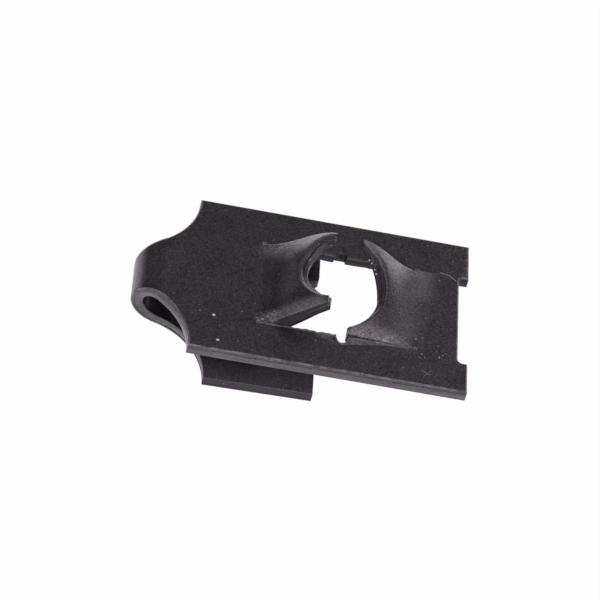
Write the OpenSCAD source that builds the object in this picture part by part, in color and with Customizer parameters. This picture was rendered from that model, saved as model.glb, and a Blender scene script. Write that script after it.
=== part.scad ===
// J nut: a spring clip nut, blanked and folded from one strip of spring steel.
// The strip folds over at a narrow neck, so that it slides onto the edge of a panel.
// The long leg is slit and lanced into two tongues. They are pushed up and twisted, so that
// their facing edges follow one turn of a screw thread. The short leg lies behind the panel
// and is notched to let the screw pass.
// Frame: the short leg lies on z = 0, and the origin is where the screw's axis meets that
// plane. +X runs from the fold to the free ends, and +Z from the short leg to the tongues.

/* [Strip] */
// Thickness of the sheet
sheet = 1; // [0.7:0.05:1.2]
// Width of both legs
strip_width = 16; // [14:0.5:22]

/* [Fold] */
// Clear gap between the legs beside the fold, where the panel goes
panel_gap = 2.6; // [2:0.1:4]
// Angle by which the legs close on the panel, in degrees
closing = 1.6; // [0:0.8:4]
// Flat stretch of the long leg between its shoulders and the fold
shoulder_flat = 2.35; // [1.5:0.05:3.5]
// Radius of the round side notches that leave the neck
side_notch = 6.1; // [5:0.1:6.5]

/* [Long leg] */
// Length of the long leg from its shoulders to its free end
long_leg = 22.4; // [20.6:0.2:30]
// Distance from the shoulders to the screw's axis
screw_x = 11.85; // [10.5:0.05:13]
// Width of the shallow notch in the free end
end_notch_width = 9.2; // [6:0.2:12]
// Depth of that notch
end_notch_depth = 0.8; // [0.6:0.05:1.4]
// Inner corner radius of that notch
end_notch_corner = 0.4; // [0.2:0.05:0.5]
// Sideways shift of that notch from the middle of the leg
end_notch_shift = -0.3; // [-1:0.1:1]

/* [Short leg] */
// Distance by which the short leg stops before the screw's axis
short_leg_stop = 1.2; // [0.5:0.1:2.5]
// Radius of the notch that lets the screw pass
clearance_radius = 4.3; // [3.8:0.05:4.8]
// Radius on the outer corners of that notch
clearance_corner = 0.35; // [0.2:0.05:0.6]

/* [Slits and lips] */
// Width of each tongue
tongue_width = 8.5; // [7.8:0.1:9.4]
// Width of the slits along the sides of the tongues
slit = 0.1; // [0.06:0.02:0.2]
// Radius of the small relief notch halfway along each slit
relief_radius = 0.48; // [0.35:0.01:0.6]
// Distance of the relief notches from the screw's axis, towards the free end
relief_shift = 0.3; // [-0.5:0.1:1]
// Radius of the lips that bear on the core of the screw
lip_radius = 3.1; // [2.9:0.05:3.3]

/* [Tongue beside the fold] */
// Distance from the screw's axis to the root of this tongue
fold_root = 6.45; // [6:0.05:7]
// Rise of its front corner above the leg
fold_front_rise = 3.9; // [2:0.1:4.5]
// Rise of its back corner above the leg
fold_back_rise = 2.7; // [1:0.1:3.5]
// Distance from the screw's axis to its front corner
fold_front_tip = 1.6; // [1:0.05:2]
// Distance from the screw's axis to its back corner
fold_back_tip = 0.95; // [0.6:0.05:1.6]
// Distance by which the top of its rim stands back from the lip
fold_flare = 0.6; // [0.2:0.05:0.7]

/* [Tongue beside the free end] */
// Distance from the screw's axis to the root of this tongue
end_root = 6.25; // [6:0.05:7]
// Rise of its front corner above the leg
end_front_rise = 0.5; // [0.2:0.1:2]
// Rise of its back corner above the leg
end_back_rise = 2.5; // [1:0.1:3.5]
// Distance from the screw's axis to its front corner
end_front_tip = 0.9; // [0.6:0.05:1.6]
// Distance from the screw's axis to its back corner
end_back_tip = 1.35; // [0.8:0.05:2]
// Distance by which the top of its rim stands back from the lip
end_flare = 0.15; // [0.1:0.05:0.6]

/* [Hidden] */
$fn = 96;

// Steps along a tongue, across it, and round the sides of the neck
tongue_steps = 10;
rim_steps = 32;
neck_steps = 24;

// How far a cutting shape runs past what it cuts
past = 1;
// How far the fold and the tongues run into the legs that they grow out of
seat = 0.4;
// Step for measuring the slope of a tongue
slope_step = 0.001;

// Share of a tongue's length that its root bend takes up
root_bend = 0.3;
// Crown across the middle of each tongue
fold_crown = 0.25;
end_crown = 0.1;
// Width of the blunt corner that stays at each tip, on top and underneath
tip_blunt_top = 0.15;
tip_blunt_low = 0.5;
// Distance by which the underside of a lip reaches past the lip's circle before it is bored
lip_land = 0.36;
// Lean of the cut edge at the front and back corners of the tongues
fold_tip_lean = [0.35, 0.1];
end_tip_lean = [0.05, 0.1];
// How far each side edge of a tongue is bent as a wave, where 0 is a straight ramp
fold_curl = [0, 1];
end_curl = [1, 0.85];

inner_bend = panel_gap / 2;
outer_bend = inner_bend + sheet;
mid_bend = inner_bend + sheet / 2;
bend_angle = 180 + closing;
bend_length = mid_bend * bend_angle * PI / 180;
half_width = strip_width / 2;
tongue_half = tongue_width / 2;
window_half = tongue_half + slit;

// The fold's axis, seen from the screw's axis on the seat plane
fold_to_screw = (shoulder_flat + screw_x) / cos(closing) - outer_bend * tan(closing);
// The middle of the side notches, seen from the fold's axis along the short leg
short_notch_x = side_notch - shoulder_flat - bend_length;
short_leg_end = -short_leg_stop;
short_leg_length = fold_to_screw - short_leg_stop;

function mix(a, b, share) = a + (b - a) * share;

// Half width of the neck at a distance along the strip from the long leg's shoulders
function neck_half(along) =
    half_width - sqrt(max(0, side_notch * side_notch - pow(along - side_notch, 2)));

// Rise along a tongue's edge, from 0 at its root to 1 at its tip: a ramp with a bent root,
// a wave that levels out at the tip, or a mix of the two
function ramp(q) = (q < root_bend ? q * q / (2 * root_bend) : q - root_bend / 2) / (1 - root_bend / 2);
function wave(q) = q < 1 ? q * q * (3 - 2 * q) : 1;

// Half length of an oval at a distance y from its middle
function oval(y, long_half, cross_half) = long_half * sqrt(max(0, 1 - pow(y / cross_half, 2)));

// Moves what is drawn on the long leg's top face, with x = 0 at its shoulders, into place
module on_long_leg() {
    translate([-fold_to_screw, 0, outer_bend])
        rotate([0, closing, 0])
            translate([shoulder_flat, 0, outer_bend])
                children();
}

// Outline of the shallow notch in the free end, open towards +X
module end_notch_outline() {
    inner = end_notch_width / 2 - end_notch_corner;
    translate([long_leg - end_notch_depth, end_notch_shift]) {
        translate([end_notch_corner, -end_notch_width / 2])
            square([end_notch_depth + past, end_notch_width]);
        translate([0, -inner])
            square([end_notch_depth, 2 * inner]);
        for (side = [-1, 1])
            translate([end_notch_corner, side * inner])
                circle(r = end_notch_corner);
    }
}

// Flat outline of the long leg, from the fold to the free end
module long_leg_outline() {
    difference() {
        translate([-shoulder_flat, -half_width])
            square([shoulder_flat + long_leg, strip_width]);
        for (side = [-1, 1]) {
            translate([-side_notch, side * half_width])
                circle(r = side_notch);
            translate([screw_x + relief_shift, side * window_half])
                circle(r = relief_radius);
        }
        translate([screw_x - fold_root, -window_half])
            square([fold_root + end_root, 2 * window_half]);
        end_notch_outline();
    }
}

// Corner of the clearance notch, rounded from the leg's end into the notch
module clearance_corner_outline() {
    centre_x = short_leg_end - clearance_corner;
    centre_y = sqrt(pow(clearance_radius + clearance_corner, 2) - centre_x * centre_x);
    on_notch = clearance_radius / (clearance_radius + clearance_corner);
    difference() {
        polygon([
            [centre_x, centre_y],
            [centre_x * on_notch, centre_y * on_notch],
            [short_leg_end + past, centre_y * on_notch],
            [short_leg_end + past, centre_y]
        ]);
        translate([centre_x, centre_y])
            circle(r = clearance_corner);
    }
}

// Flat outline of the short leg, from the fold to the notch that clears the screw
module short_leg_outline() {
    difference() {
        translate([-fold_to_screw, -half_width])
            square([short_leg_length, strip_width]);
        for (side = [-1, 1])
            translate([short_notch_x - fold_to_screw, side * half_width])
                circle(r = side_notch);
        circle(r = clearance_radius);
        for (side = [0, 1])
            mirror([0, side])
                clearance_corner_outline();
    }
}

// Section of the fold, with its axis at the origin and a short piece of each leg
module fold_section() {
    mouth = 2 * outer_bend;
    short_way = [cos(closing), sin(closing)];
    short_side = [sin(closing), -cos(closing)];
    difference() {
        union() {
            circle(r = outer_bend);
            square([seat, outer_bend]);
            rotate(closing)
                translate([0, -outer_bend])
                    square([seat, outer_bend]);
        }
        circle(r = inner_bend);
        polygon([
            [seat, mouth],
            [seat, inner_bend],
            [0, inner_bend],
            inner_bend * short_side,
            inner_bend * short_side + seat * short_way,
            mouth * short_side + seat * short_way,
            [2 * mouth, -mouth],
            [2 * mouth, mouth]
        ]);
    }
}

// What the side notch takes off one side of the fold, once the strip is bent round
module neck_cut() {
    overrun = seat + past;
    corners = [[-1, 0], [1, 0], [1, 1], [-1, 1]];
    function ring(angle, shift) = [
        for (corner = corners)
            let (radius = mid_bend + corner[0] * (sheet + past) / 2)
            let (neck = neck_half(shoulder_flat + mid_bend * angle * PI / 180))
            [
                -radius * sin(angle) - shift * cos(angle),
                corner[1] > 0 ? half_width + past : neck,
                radius * cos(angle) - shift * sin(angle)
            ]
    ];
    rings = concat(
        [ring(0, -overrun)],
        [for (i = [0 : neck_steps]) ring(bend_angle * i / neck_steps, 0)],
        [ring(bend_angle, overrun)]
    );
    walls = [
        for (i = [0 : len(rings) - 2], k = [0 : 3])
            let (a = 4 * i + k, b = 4 * i + (k + 1) % 4)
            each [[a, a + 4, b + 4], [a, b + 4, b]]
    ];
    last = 4 * (len(rings) - 1);
    ends = [[0, 1, 2], [0, 2, 3], [last, last + 2, last + 1], [last, last + 3, last + 2]];
    polyhedron(points = [for (ring = rings) each ring], faces = concat(walls, ends));
}

// The strip bent round the panel's edge, narrowed to the neck
module fold() {
    translate([-fold_to_screw, 0, outer_bend])
        rotate([0, closing, 0])
            difference() {
                rotate([90, 0, 0])
                    linear_extrude(strip_width, center = true)
                        fold_section();
                neck_cut();
                mirror([0, 1, 0])
                    neck_cut();
            }
}

// One lanced tongue on the long leg. It bends up from its root and twists, because its front
// and back corners rise by different amounts. side is -1 beside the fold and 1 beside the
// free end, and the pairs give the front and the back edge.
module tongue(side, root, tip, lean, rise, curl, crown, flare) {
    root_x = screw_x + side * root;
    function across(y) = (y + tongue_half) / tongue_width;
    function at(pair, y) = mix(pair[0], pair[1], across(y));
    function tip_x(y) = screw_x + side * at(tip, y);
    function run(x, y) = max(0, (x - root_x) / (tip_x(y) - root_x));
    function top(x, y) =
        let (q = run(x, y), k = across(y))
        at(rise, y) * mix(ramp(q), wave(q), at(curl, y)) + crown * 4 * k * (1 - k) * q * q;
    function slope_x(x, y) = (top(x + slope_step, y) - top(x - slope_step, y)) / (2 * slope_step);
    function slope_y(x, y) = (top(x, y + slope_step) - top(x, y - slope_step)) / (2 * slope_step);
    function low(x, y) = top(x, y) - sheet * sqrt(1 + pow(slope_x(x, y), 2) + pow(slope_y(x, y), 2));

    // The facing edge is an oval on top and a smaller one underneath, ending in blunt corners
    function top_edge(y) =
        screw_x + side * max(oval(y, lip_radius + flare, tongue_half - tip_blunt_top), at(tip, y));
    function low_edge(y) =
        screw_x + side * max(oval(y, lip_radius - lip_land, tongue_half - tip_blunt_low),
                             at(tip - lean, y));

    // Rows run from inside the leg, past the root, to the facing edge, with more points near
    // the side edges
    ys = [for (j = [0 : rim_steps]) -tongue_half * cos(180 * j / rim_steps)];
    seat_x = root_x + side * seat;
    top_points = [
        for (i = [-1 : tongue_steps], y = ys)
            let (x = i < 0 ? seat_x : mix(root_x, top_edge(y), i / tongue_steps))
            [x, y, top(x, y)]
    ];
    low_points = [
        for (i = [-1 : tongue_steps], y = ys)
            let (x = i < 0 ? seat_x : mix(root_x, low_edge(y), i / tongue_steps))
            [x, y, i < 1 ? -sheet : low(x, y)]
    ];
    row = rim_steps + 1;
    rows = tongue_steps + 1;
    under = row * (rows + 1);
    function quad(a, b, c, d) = [[a, b, c], [a, c, d]];
    top_faces = [
        for (i = [0 : rows - 1], j = [0 : rim_steps - 1])
            let (p = i * row + j)
            each quad(p, p + 1, p + row + 1, p + row)
    ];
    low_faces = [for (face = top_faces) [face[0] + under, face[2] + under, face[1] + under]];
    side_faces = [
        for (i = [0 : rows - 1])
            let (p = i * row, q = p + rim_steps)
            each concat(quad(p, p + row, p + row + under, p + under),
                        quad(q + row, q, q + under, q + row + under))
    ];
    end_faces = [
        for (j = [0 : rim_steps - 1])
            let (p = j, q = rows * row + j)
            each concat(quad(p + 1, p, p + under, p + 1 + under),
                        quad(q, q + 1, q + 1 + under, q + under))
    ];
    faces = concat(top_faces, low_faces, side_faces, end_faces);
    polyhedron(
        points = concat(top_points, low_points),
        faces = side < 0 ? faces : [for (face = faces) [face[0], face[2], face[1]]]
    );
}

// Both tongues, bored to the lip circle where they bear on the core of the screw
module tongues() {
    bore_height = 2 * (fold_front_rise + end_back_rise + outer_bend);
    difference() {
        union() {
            tongue(-1, fold_root, [fold_front_tip, fold_back_tip], fold_tip_lean,
                   [fold_front_rise, fold_back_rise], fold_curl, fold_crown, fold_flare);
            tongue(1, end_root, [end_front_tip, end_back_tip], end_tip_lean,
                   [end_front_rise, end_back_rise], end_curl, end_crown, end_flare);
        }
        translate([screw_x, 0, 0])
            cylinder(r = lip_radius, h = bore_height, center = true);
    }
}

module j_nut() {
    color([0.22, 0.20, 0.21])
        union() {
            linear_extrude(sheet)
                short_leg_outline();
            fold();
            on_long_leg() {
                translate([0, 0, -sheet])
                    linear_extrude(sheet)
                        long_leg_outline();
                tongues();
            }
        }
}

j_nut();
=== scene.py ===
# %% [markdown]
# A j nut is a nut made from one strip of spring steel. It is pushed onto the edge of a panel, and
# its two lanced tongues take the place of a thread. The solid from the CAD work is loaded first:
# it fixes the frame, the size and the box that the finished piece has to stay in.

# %% Load the frame
import math

import bmesh
import bpy
from mathutils import Matrix, Vector


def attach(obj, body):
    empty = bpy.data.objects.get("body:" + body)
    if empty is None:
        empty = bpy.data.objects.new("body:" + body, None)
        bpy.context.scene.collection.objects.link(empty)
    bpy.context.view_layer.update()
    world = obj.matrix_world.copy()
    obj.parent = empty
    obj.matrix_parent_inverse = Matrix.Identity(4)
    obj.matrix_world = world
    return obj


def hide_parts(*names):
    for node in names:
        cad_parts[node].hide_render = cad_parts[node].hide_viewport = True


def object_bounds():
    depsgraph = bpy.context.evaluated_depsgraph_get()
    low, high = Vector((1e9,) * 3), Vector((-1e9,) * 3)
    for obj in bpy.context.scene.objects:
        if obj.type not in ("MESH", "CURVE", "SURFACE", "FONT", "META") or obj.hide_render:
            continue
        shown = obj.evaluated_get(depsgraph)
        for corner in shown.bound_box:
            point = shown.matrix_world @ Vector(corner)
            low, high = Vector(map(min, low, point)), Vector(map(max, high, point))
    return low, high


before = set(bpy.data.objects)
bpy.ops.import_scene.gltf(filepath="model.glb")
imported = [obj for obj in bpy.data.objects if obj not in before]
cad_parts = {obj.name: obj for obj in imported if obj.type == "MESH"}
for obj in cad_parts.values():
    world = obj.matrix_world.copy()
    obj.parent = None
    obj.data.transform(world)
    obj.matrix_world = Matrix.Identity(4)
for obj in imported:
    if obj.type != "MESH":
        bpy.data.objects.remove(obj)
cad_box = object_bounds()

NODE = "j_nut"
METRES_PER_MM = 0.001
cad_size_mm = [1000 * (high - low) for low, high in zip(*cad_box)]
print("CAD box in mm:", [round(size, 2) for size in cad_size_mm])

# %% [markdown]
# The camera stands in front of the nut and looks down on it. A long lens keeps the two legs almost
# parallel in the picture. The angles come from fitting a camera to the corners of the strip, which
# is quicker and closer than turning a camera by eye. The camera is rolled, so the strip's long
# edges climb to the left.

# %% Camera
CAMERA_LENS_MM = 190.4
CAMERA_SENSOR_MM = 36.0
CAMERA_TARGET_MM = Vector((-2.845, 0.768, 2.17))
CAMERA_DISTANCE_MM = 255.72
CAMERA_ELEVATION = math.radians(46.523)
CAMERA_AZIMUTH = math.radians(8.098)
CAMERA_ROLL = math.radians(14.743)

forward = Vector((
    math.sin(CAMERA_AZIMUTH) * math.cos(CAMERA_ELEVATION),
    math.cos(CAMERA_AZIMUTH) * math.cos(CAMERA_ELEVATION),
    -math.sin(CAMERA_ELEVATION),
))
level_right = forward.cross(Vector((0, 0, 1))).normalized()
level_up = level_right.cross(forward)
right = level_right * math.cos(CAMERA_ROLL) + level_up * math.sin(CAMERA_ROLL)
up = right.cross(forward)

camera_data = bpy.data.cameras.new("camera")
camera_data.lens = CAMERA_LENS_MM
camera_data.sensor_width = CAMERA_SENSOR_MM
camera_data.clip_start = 0.01
camera_data.clip_end = 10.0
camera = bpy.data.objects.new("camera", camera_data)
bpy.context.collection.objects.link(camera)
turn = Matrix((right, up, -forward)).transposed().to_4x4()
place = (CAMERA_TARGET_MM - forward * CAMERA_DISTANCE_MM) * METRES_PER_MM
camera.matrix_world = Matrix.Translation(place) @ turn
bpy.context.scene.camera = camera
bpy.context.scene.view_settings.view_transform = "Standard"
print("camera stands at", [round(c, 3) for c in place])

# %% [markdown]
# The nut starts as a flat blank, drawn in millimetres as the press tool sees it: x runs along the
# strip from the long leg's shoulders, y runs across it, and z is 0 on the top face. The short leg
# lies at negative x, past the stretch that will be bent round. A sheet metal worker works the same
# way: cut flat first, then form. A bent mesh could be modelled as it stands, but forming a flat one
# keeps the sheet's thickness right through every bend.

# %% Sizes of the strip and its cut-outs
SHEET = 1.0
HALF_WIDTH = cad_size_mm[1] / 2
INNER_BEND = 1.3
CLOSING = math.radians(1.6)  # the long leg leans towards the short one
SHOULDER_FLAT = 2.35  # from the shoulders to the start of the fold
SIDE_NOTCH = 6.1  # radius of the round notch at each side of the fold
LONG_LEG = 22.4
SCREW_X = 11.85  # from the shoulders to the screw's axis
END_NOTCH_HALF = 4.6
END_NOTCH_DEPTH = 0.8
END_NOTCH_CORNER = 0.4
END_NOTCH_SHIFT = -0.3  # from the strip's middle towards the back
SHORT_LEG_STOP = 1.2  # the short leg ends this far before the screw's axis
CLEARANCE_RADIUS = 4.5  # of the short leg's notch, which the screw's thread passes
CLEARANCE_CORNER = 0.35
TONGUE_HALF = 4.25
SLIT = 0.04
RELIEF_RADIUS = 0.48
RELIEF_SHIFT = 0.3  # from the screw's axis towards the free end
RELIEF_DEPTH = 0.8
BACK_RELIEF_SHIFT = -0.1
BACK_RELIEF_DEPTH = 0.25  # on the underside, where the back relief's edge stands in
LIP_RADIUS = 3.1
LIP_ROLL = 0.1  # the lips are bored this much tighter
TIP_LENGTH = 1.2  # over which a facing edge's round corner runs out
LANCED_ROUNDING = 0.05

MID_BEND = INNER_BEND + SHEET / 2
OUTER_BEND = INNER_BEND + SHEET
BEND_ANGLE = math.pi + CLOSING
BEND_LENGTH = MID_BEND * BEND_ANGLE
FOLD_TO_SCREW = (SHOULDER_FLAT + SCREW_X) / math.cos(CLOSING) - OUTER_BEND * math.tan(CLOSING)
FOLD_START = -SHOULDER_FLAT
FOLD_END = FOLD_START - BEND_LENGTH
CLEARANCE_X = FOLD_END - FOLD_TO_SCREW
SHORT_END = CLEARANCE_X + SHORT_LEG_STOP
WINDOW_HALF = TONGUE_HALF + SLIT
print(f"flat blank: {LONG_LEG - SHORT_END:.1f} mm long, {2 * HALF_WIDTH:.1f} mm wide")

# %% [markdown]
# The two tongues are what makes this a nut. They rise at different rates at the front and the back,
# so their facing edges together follow one turn of a screw thread. Each facing edge is part of an
# oval, wider on the top face than at the lip, and its top corner is drawn round by the punch. The
# sizes stand in two lists with the same names, because the tongues differ in size and not in kind.
# A pair of sizes gives the front and the back.

# %% Sizes of the tongues
FOLD_TONGUE = dict(
    side=-1,                 # -1 beside the fold, 1 beside the free end
    root=6.45,               # from the screw's axis to the root
    tip=(1.6, 0.95),         # from the screw's axis to the tips, on the top face
    lean=(0.35, 0.1),        # how much nearer to the axis the underside's tips are
    rise=(3.72, 2.7),        # height of the tips
    curl=(0.0, 1.0),         # 0 climbs as a straight ramp, 1 as a wave
    crown=0.14,              # height that a bulge along the middle adds at the tip
    roll=0.45,               # how far the side edges roll down
    flare=(0.45, 0.45),      # how much longer the top oval is than the lip's circle
    narrow=(0.15, 0.15),     # how much the top oval is narrower than the tongue
    bow=(0.5, 0.5),          # 0.5 makes the top oval an ellipse, more gives it slimmer ends
    land=(0.36, 0.36),       # how much shorter the underside's oval is than the lip's circle
    low_narrow=(0.5, 0.5),   # how much the underside's oval is narrower than the tongue
    lip_drop=(0.2, 0.3),     # depth of the facing edge's round corner
    lip_inset=(0.3, 0.75),   # width of that corner
    # The worn share of the facing edge's corner also paints a highlight on it.
    lip_wear_and_highlight=0.2,            # how much of the coat is worn off the corner
    lip_dark=0.35,           # how dark the corner is
)
END_TONGUE = dict(
    side=1,
    root=6.25,
    tip=(0.7, 1.22),
    lean=(0.05, 0.1),
    rise=(0.42, 2.5),
    curl=(0.0, 0.85),
    crown=0.1,
    roll=0.08,
    flare=(0.25, 0.75),
    narrow=(-0.25, 0.05),
    bow=(1.2, 0.5),
    land=(0.36, 0.1),
    low_narrow=(1.0, -0.25),
    lip_drop=(0.25, 0.35),
    lip_inset=(0.3, 0.9),
    lip_wear_and_highlight=0.0,
    lip_dark=0.0,
)
TONGUES = (FOLD_TONGUE, END_TONGUE)
ROOT_BEND = 0.3
ROLL_WIDTH = 2.6  # width of each rolled side
ROLL_START = 0.55  # share of the way to the tip after which the roll is full
print("the tips rise by", FOLD_TONGUE["rise"], "and", END_TONGUE["rise"], "mm")

# %% [markdown]
# How far a facing edge stands from the screw's axis is a rule across the tongue: an oval in the middle,
# and a blunt tip at each side. The top face and the underside have their own ovals, so the edge leans.
# Small functions say this once, for the outline here and for the lips later. Drawn points would need
# to be moved by hand after each change of a size.

# %% Reach of the facing edges
def mix(a, b, share):
    return a + (b - a) * share


def across(y):
    """Share of the way across a tongue, from 0 at the front to 1 at the back."""
    return (y + TONGUE_HALF) / (2 * TONGUE_HALF)


def oval(y, long_half, cross_half, bow=0.5):
    """Half length at y of an oval. A bow of 0.5 gives an ellipse, and more gives slimmer ends."""
    return long_half * max(0.0, 1 - (y / cross_half) ** 2) ** bow


def half_of(pair, y):
    """The first number along the front half, and the second along the back half."""
    return pair[0] if y < 0 else pair[1]


def towards_back(pair, y):
    """The first number along the front half, and a change to the second along the back half."""
    return mix(*pair, max(0.0, y / TONGUE_HALF))


def root_line(tongue):
    return SCREW_X + tongue["side"] * tongue["root"]


def top_reach(tongue, y):
    """Distance from the screw's axis to the facing edge, on the top face."""
    blunt = mix(*tongue["tip"], across(y))
    flare = towards_back(tongue["flare"], y)
    cross_half = TONGUE_HALF - half_of(tongue["narrow"], y)
    return max(oval(y, LIP_RADIUS + flare, cross_half, half_of(tongue["bow"], y)), blunt)


def low_reach(tongue, y):
    """The same on the underside, before the lip's circle is bored."""
    blunt = mix(*tongue["tip"], across(y)) - mix(*tongue["lean"], across(y))
    land = half_of(tongue["land"], y)
    return max(oval(y, LIP_RADIUS - land, TONGUE_HALF - half_of(tongue["low_narrow"], y)), blunt)


def bored_reach(tongue, y):
    """The same after the lip's circle is bored."""
    return max(low_reach(tongue, y), oval(y, LIP_RADIUS - LIP_ROLL, LIP_RADIUS - LIP_ROLL))


def lip_corner(tongue, y):
    """Inset and drop of the facing edge's round top corner, which runs out towards the tips."""
    share = min(1.0, (TONGUE_HALF - abs(y)) / TIP_LENGTH)
    inset = towards_back(tongue["lip_inset"], y)
    drop = towards_back(tongue["lip_drop"], y)
    return mix(LANCED_ROUNDING, inset, share), mix(LANCED_ROUNDING, drop, share)


for tongue in TONGUES:
    reach = top_reach(tongue, 0)
    print(f"tongue from x = {root_line(tongue):.2f} ends {reach:.2f} mm from the screw's axis")

# %% [markdown]
# The outline is made of loops of points, with round stretches as arcs. Where two areas meet, such as
# a tongue and the leg that it grows out of, they share their points, so that the blank is one closed
# skin. Looking a point up by its place does that without a merge afterwards.

# %% Points of the blank
blank = bmesh.new()
worn_and_highlit_layer = blank.verts.layers.float.new("worn_and_highlit")
groove_layer = blank.verts.layers.float.new("groove")
placed = {}


def point(x, y):
    """The point of the top face at a place, made when it is first asked for."""
    key = (round(x, 5), round(y, 5))
    if key not in placed:
        placed[key] = blank.verts.new((x, y, 0))
    return placed[key]


def arc(centre_x, centre_y, radius, start, end, steps):
    """Points along an arc between two angles in degrees."""
    angles = [math.radians(mix(start, end, i / steps)) for i in range(steps + 1)]
    return [(centre_x + radius * math.cos(a), centre_y + radius * math.sin(a)) for a in angles]


def neck_half(x):
    """Half width of the neck between the two side notches."""
    return HALF_WIDTH - math.sqrt(max(0.0, SIDE_NOTCH ** 2 - (x + SIDE_NOTCH) ** 2))


def notch_arc(start_x, end_x, steps):
    """Front side notch between two places along the strip, as points in order."""
    start = math.degrees(math.acos((start_x + SIDE_NOTCH) / SIDE_NOTCH))
    end = math.degrees(math.acos((end_x + SIDE_NOTCH) / SIDE_NOTCH))
    return arc(-SIDE_NOTCH, -HALF_WIDTH, SIDE_NOTCH, start, end, steps)


def mirrored(points):
    """The same points at the back, turned round so that the outline runs on."""
    return [(x, -y) for x, y in reversed(points)]


def fill(*loops):
    """Faces of a flat area inside its outline. A second loop is a hole."""
    edges = []
    for loop in loops:
        points = [point(x, y) for x, y in loop]
        points = [p for i, p in enumerate(points) if p is not points[i - 1]]
        for a, b in zip(points, points[1:] + points[:1]):
            edges.append(blank.edges.get((a, b)) or blank.edges.new((a, b)))
    made = bmesh.ops.triangle_fill(blank, edges=edges, use_beauty=True, normal=(0, 0, 1))
    return [f for f in made["geom"] if isinstance(f, bmesh.types.BMFace)]


def grid(rows):
    """Faces between rows of points."""
    faces = []
    for near, far in zip(rows, rows[1:]):
        for j in range(len(near) - 1):
            corners = [near[j], near[j + 1], far[j + 1], far[j]]
            faces.append(blank.faces.new([point(x, y) for x, y in corners]))
    return faces


print("neck between the side notches:", round(2 * neck_half(-SIDE_NOTCH), 2), "mm wide")

# %% [markdown]
# The fold and the tongues are grids, because they bend and need rows to bend at. Each slit beside the
# tongues has a small round relief at the gap between them. The punch tears the sides of the slits a
# little, and waves of some hundredths of a millimetre give them that ragged line. Moving points by
# hand would do it too, but waves are quick to change and come out the same each time.

# %% Rows of the grids and sides of the slits
FOLD_ROWS = 48
FOLD_COLUMNS = 8
TONGUE_ROWS = 20
TONGUE_COLUMNS = 48
SLIT_STEPS = 40
RELIEF_STEPS = 14
TORN_DEPTH = 0.05
TORN_WAVES = (5.1, 11.3, 23.0)  # radians for each millimetre along the slit
RIPPLE = 0.4
FOLD_SIDE_PHASE = 0.3
END_SIDE_PHASE = 1.9


def fold_line(x):
    half = neck_half(x)
    return [(x, mix(-half, half, j / FOLD_COLUMNS)) for j in range(FOLD_COLUMNS + 1)]


def torn(x, phase):
    """How far a slit's side is torn back at x. Waves of uneven lengths don't line up."""
    long_wave, short_wave, ripple = TORN_WAVES
    waves = math.sin(long_wave * x + phase) * math.sin(short_wave * x + 2 * phase)
    waves += RIPPLE * math.sin(ripple * x)
    return TORN_DEPTH * max(0.0, waves)


tongue_ys = [mix(-TONGUE_HALF, TONGUE_HALF, j / TONGUE_COLUMNS) for j in range(TONGUE_COLUMNS + 1)]


def tongue_row(tongue, reach, share):
    """Points across a tongue. All rows but the last leave room for the round corner of the edge."""
    row = []
    for y in tongue_ys:
        room = lip_corner(tongue, y)[0] if share < 1 else 0.0
        edge = SCREW_X + tongue["side"] * (reach(tongue, y) + room)
        row.append((mix(root_line(tongue), edge, share), y))
    return row


def slit_side(relief_shift, relief_depth):
    """Front side of the window, from the fold tongue's root to the end tongue's root."""
    start = root_line(FOLD_TONGUE)
    end = root_line(END_TONGUE)
    middle = SCREW_X + relief_shift
    plain = [mix(start, end, i / SLIT_STEPS) for i in range(SLIT_STEPS + 1)]
    before = [x for x in plain[1:-1] if x < middle - RELIEF_RADIUS]
    before = [(x, -WINDOW_HALF - torn(x, FOLD_SIDE_PHASE)) for x in before]
    after = [x for x in plain[1:-1] if x > middle + RELIEF_RADIUS]
    after = [(x, -WINDOW_HALF - torn(x, END_SIDE_PHASE)) for x in after]
    relief = arc(middle, 0.0, RELIEF_RADIUS, 180, 360, RELIEF_STEPS)
    relief = [(x, y * relief_depth / RELIEF_RADIUS - WINDOW_HALF) for x, y in relief]
    return [(start, -WINDOW_HALF), *before, *relief, *after, (end, -WINDOW_HALF)]


shares = [i / TONGUE_ROWS for i in range(TONGUE_ROWS + 1)]
top_rows = {t["side"]: [tongue_row(t, top_reach, s) for s in shares] for t in TONGUES}
low_rows = {t["side"]: [tongue_row(t, low_reach, s) for s in shares] for t in TONGUES}
fold_rows = [fold_line(mix(FOLD_START, FOLD_END, i / FOLD_ROWS)) for i in range(FOLD_ROWS + 1)]
print("tongues:", len(shares), "rows of", len(tongue_ys), "points; fold:", len(fold_rows), "rows")

# %% [markdown]
# The legs stay flat, so they are only filled outlines. The long leg has one loop round it and one for
# the window inside, and the short leg has a single loop with a round notch at its end, which lets the
# screw's thread pass. The back is the mirrored front, apart from the end notch and the reliefs, which
# are a little off the middle. A grid would work here too, but flat sheet needs no rows.

# %% Top face of the blank
SHOULDER_STEPS = 24
SHORT_SHOULDER_STEPS = 32
END_CORNER_STEPS = 8
CLEARANCE_STEPS = 48
CLEARANCE_CORNER_STEPS = 10

front_end = END_NOTCH_SHIFT - END_NOTCH_HALF
back_end = END_NOTCH_SHIFT + END_NOTCH_HALF
end_corner_x = LONG_LEG - END_NOTCH_DEPTH + END_NOTCH_CORNER
end_notch = [
    (LONG_LEG, front_end),
    *arc(end_corner_x, front_end + END_NOTCH_CORNER, END_NOTCH_CORNER, 270, 180, END_CORNER_STEPS),
    *arc(end_corner_x, back_end - END_NOTCH_CORNER, END_NOTCH_CORNER, 180, 90, END_CORNER_STEPS),
    (LONG_LEG, back_end),
]
long_front = [*notch_arc(FOLD_START, 0.0, SHOULDER_STEPS), (LONG_LEG, -HALF_WIDTH)]
long_outer = [*reversed(fold_rows[0]), *long_front, *end_notch, *mirrored(long_front)]
front_slit = slit_side(RELIEF_SHIFT, RELIEF_DEPTH)
back_slit = list(reversed(mirrored(slit_side(BACK_RELIEF_SHIFT, RELIEF_RADIUS))))
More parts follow.
